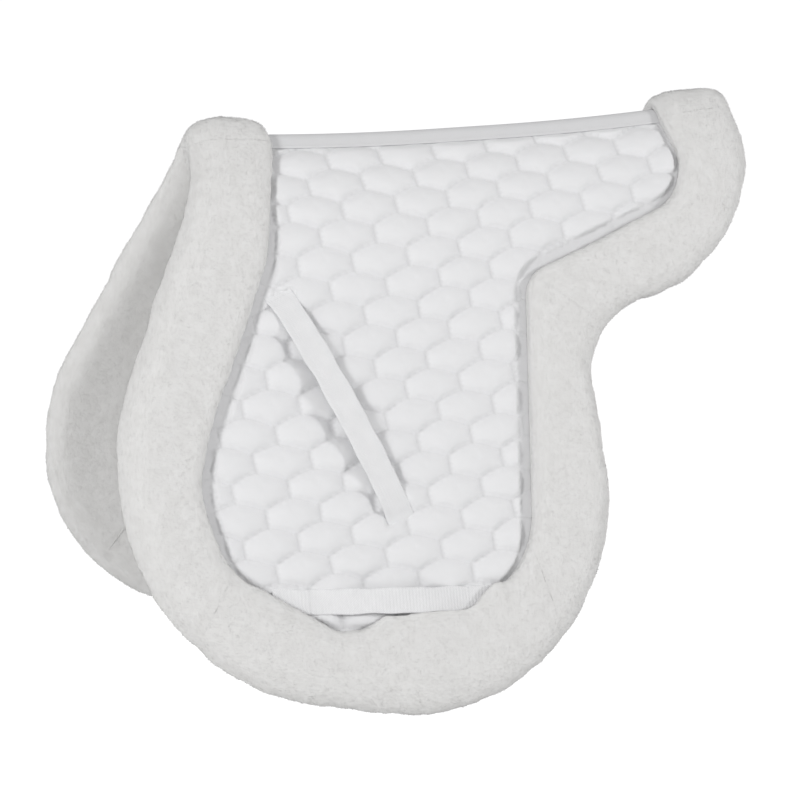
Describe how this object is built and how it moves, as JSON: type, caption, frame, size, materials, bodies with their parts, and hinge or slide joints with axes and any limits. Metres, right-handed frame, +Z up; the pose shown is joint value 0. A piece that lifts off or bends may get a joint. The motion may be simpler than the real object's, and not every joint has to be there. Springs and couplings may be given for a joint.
{
  "type": "sheepskin saddle pad",
  "caption": "Quilted cotton saddle pad shaped to an English saddle, lined and edged with sheepskin, its two flaps joined along a taped spine, with billet straps and girth loops.",
  "frame": {"origin": "middle of the flat underside of the spine webbing, halfway between the pommel and cantle ends, where the pad rests on the horse's spine or on a rail", "axes": "+X towards the cantle, -Y towards the near (left) flap, +Z up"},
  "size_m": [0.6915, 0.4236, 0.5514],
  "materials": {
    "quilted_cotton": "white cotton twill, quilted in a honeycomb",
    "cotton_webbing": "white ribbed cotton webbing",
    "binding_tape": "white cotton binding tape",
    "sheepskin": "clipped white sheepskin pile",
    "wadding": "white felted wadding"
  },
  "bodies": {
    "spine": {"spine_binding": "binding_tape", "spine_seam": "binding_tape", "spine_webbing": "cotton_webbing", "pommel_fleece_cap": "sheepskin", "cantle_fleece_cap": "sheepskin"},
    "near_flap": {"near_quilted_face": "quilted_cotton", "near_wadding": "wadding", "near_fleece_lining": "sheepskin", "near_front_roll": "sheepskin", "near_bottom_roll": "sheepskin", "near_rear_roll": "sheepskin", "near_cantle_roll": "sheepskin", "near_billet_strap": "cotton_webbing", "near_girth_loop": "cotton_webbing"},
    "off_flap": {"off_quilted_face": "quilted_cotton", "off_wadding": "wadding", "off_fleece_lining": "sheepskin", "off_front_roll": "sheepskin", "off_bottom_roll": "sheepskin", "off_rear_roll": "sheepskin", "off_cantle_roll": "sheepskin", "off_billet_strap": "cotton_webbing", "off_girth_loop": "cotton_webbing"}
  },
  "joints": [
    {"name": "near_flap_fold", "type": "hinge", "parent": "spine", "child": "near_flap", "pos_m": [0, -0.0081, 0.006], "axis": [-1, 0, 0], "range_deg": [-19, 55], "deforming": ["spine_binding", "pommel_fleece_cap", "cantle_fleece_cap"]},
    {"name": "off_flap_fold", "type": "hinge", "parent": "spine", "child": "off_flap", "pos_m": [0, 0.0081, 0.006], "axis": [1, 0, 0], "range_deg": [-19, 55], "deforming": ["spine_binding", "pommel_fleece_cap", "cantle_fleece_cap"]}
  ]
}
